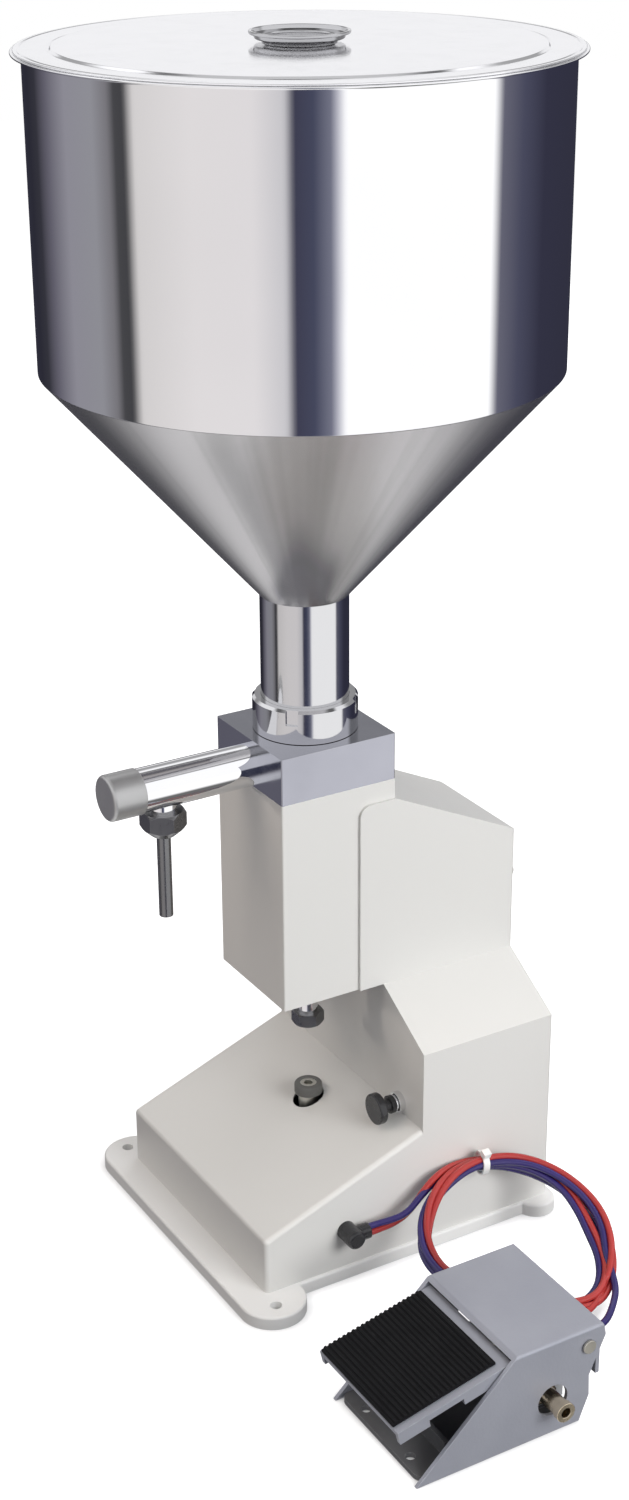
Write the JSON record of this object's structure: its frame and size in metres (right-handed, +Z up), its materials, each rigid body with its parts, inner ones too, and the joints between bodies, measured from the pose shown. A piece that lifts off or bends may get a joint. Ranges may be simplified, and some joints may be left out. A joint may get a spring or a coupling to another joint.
{
  "type": "piston liquid filler",
  "caption": "Bench-top air-driven piston liquid filler: covered hopper with cone and neck nut over a valve block, side outlet with drop nozzle, sheet housing and foot valve on two hoses.",
  "frame": {"origin": "underside of the base plate, on the common axis of hopper, product cylinder and stroke stop", "axes": "+Z up, -Y towards the outlet nozzle, +X towards the hose gland and the foot valve"},
  "size_m": [0.4145, 0.291, 0.6976],
  "materials": {
    "body_paint": "smooth gloss enamel, warm off-white",
    "plate_paint": "smooth satin enamel, light grey",
    "polished_steel": "mirror-polished stainless steel",
    "brushed_steel": "fine-ground stainless steel",
    "frame_steel": "dark grey primer",
    "zinc_steel": "zinc-plated steel",
    "cylinder_aluminium": "anodised aluminium",
    "pedal_aluminium": "silver-grey hammered enamel",
    "pedal_dark": "dark grey enamel",
    "pale_plastic": "pale grey moulded plastic",
    "black_plastic": "black moulded plastic",
    "bronze": "sintered bronze",
    "brass": "nickel-free turned brass",
    "seal_rubber": "black nitrile",
    "gasket_rubber": "white silicone rubber",
    "pad_rubber": "black ribbed rubber",
    "red_hose": "red polyurethane tube",
    "blue_hose": "navy polyurethane tube",
    "white_nylon": "white nylon"
  },
  "bodies": {
    "machine": {"base_plate": "plate_paint", "housing": "body_paint", "rear_panel": "body_paint", "rear_panel_screws": "zinc_steel", "frame_post": "frame_steel", "frame_bolts": "zinc_steel", "column_shell": "body_paint", "valve_block": "brushed_steel", "block_screws": "zinc_steel", "barrel": "brushed_steel", "rod_bushes": "bronze", "cylinder_front_cap": "cylinder_aluminium", "cylinder_rear_cap": "cylinder_aluminium", "cylinder_tube": "cylinder_aluminium", "cylinder_tie_rods": "zinc_steel", "hopper_wall": "polished_steel", "hopper_cone": "brushed_steel", "hopper_neck": "polished_steel", "neck_gasket": "gasket_rubber", "inlet_seat": "brushed_steel", "inlet_cage": "brushed_steel", "inlet_spring": "brushed_steel", "outlet_tube": "polished_steel", "nozzle": "polished_steel", "stop_post": "frame_steel", "air_valve_body": "brass", "hose_gland": "black_plastic", "push_in_fittings": "brass", "inner_air_lines": "blue_hose", "pedal_cover": "pedal_aluminium", "pedal_base": "pedal_dark", "pedal_pin": "zinc_steel", "foot_valve_body": "cylinder_aluminium", "pedal_spring": "zinc_steel", "air_inlet_fitting": "brass", "red_hose": "red_hose", "blue_hose": "blue_hose", "hose_coil": "red_hose", "hose_tie": "white_nylon"},
    "neck_nut": {"neck_nut": "polished_steel"},
    "lid": {"hopper_lid": "polished_steel", "lid_knob": "polished_steel"},
    "inlet_ball": {"inlet_ball": "polished_steel"},
    "outlet_ball": {"outlet_ball": "polished_steel", "outlet_spring": "brushed_steel"},
    "end_cap": {"end_cap": "polished_steel"},
    "union_nut": {"union_nut": "polished_steel"},
    "drive": {"piston": "brushed_steel", "piston_seals": "gasket_rubber", "piston_rod": "polished_steel", "rod_end_nut": "polished_steel", "crosshead_arm": "zinc_steel", "air_piston": "cylinder_aluminium", "air_piston_rod": "polished_steel"},
    "stop": {"stop_screw": "zinc_steel", "stop_bumper": "seal_rubber"},
    "air_valve_knob": {"air_valve_knob": "black_plastic"},
    "pedal": {"pedal_tread": "pedal_aluminium", "tread_pad": "pad_rubber"},
    "valve_spool": {"valve_spool": "brushed_steel"}
  },
  "joints": [
    {"name": "lid_lift", "type": "slide", "parent": "machine", "child": "lid", "axis": [0, 0, 1], "range_m": [0, 0.12]},
    {"name": "neck_nut_turn", "type": "hinge", "parent": "machine", "child": "neck_nut", "pos_m": [0, 0, 0.328], "axis": [0, 0, 1], "range_deg": [0, 900]},
    {"name": "inlet_ball_open", "type": "slide", "parent": "machine", "child": "inlet_ball", "axis": [0, 0, -1], "range_m": [0, 0.004], "stiffness_N_per_m": 250, "springref_m": -0.006, "deforming": ["inlet_spring"]},
    {"name": "outlet_ball_open", "type": "slide", "parent": "machine", "child": "outlet_ball", "axis": [0, -1, 0], "range_m": [0, 0.005], "stiffness_N_per_m": 100, "springref_m": -0.006},
    {"name": "end_cap_turn", "type": "hinge", "parent": "machine", "child": "end_cap", "pos_m": [0, -0.117, 0.302], "axis": [0, -1, 0], "range_deg": [0, 1080]},
    {"name": "union_nut_turn", "type": "hinge", "parent": "machine", "child": "union_nut", "pos_m": [0, -0.092, 0.28], "axis": [0, 0, 1], "range_deg": [0, 900]},
    {"name": "drive_stroke", "type": "slide", "parent": "machine", "child": "drive", "axis": [0, 0, -1], "range_m": [0, 0.042]},
    {"name": "stop_screw_turn", "type": "hinge", "parent": "machine", "child": "stop", "pos_m": [0, 0, 0.06], "axis": [0, 0, 1], "range_deg": [-720, 720]},
    {"name": "air_valve_knob_turn", "type": "hinge", "parent": "machine", "child": "air_valve_knob", "pos_m": [0.058, 0.02, 0.09], "axis": [0, -1, 0], "range_deg": [0, 1080]},
    {"name": "pedal_press", "type": "hinge", "parent": "machine", "child": "pedal", "pos_m": [0.215, 0.021, 0.048], "axis": [1, 0, 0], "range_deg": [0, 8.5], "stiffness_Nm_per_rad": 5, "springref_deg": -11.46},
    {"name": "valve_spool_slide", "type": "slide", "parent": "machine", "child": "valve_spool", "axis": [0, 0, -1], "range_m": [0, 0.0046], "deforming": ["pedal_spring"]}
  ],
  "couplings": [
    {"joint": "valve_spool_slide", "follows": "pedal_press", "m_per_rad": 0.03}
  ]
}
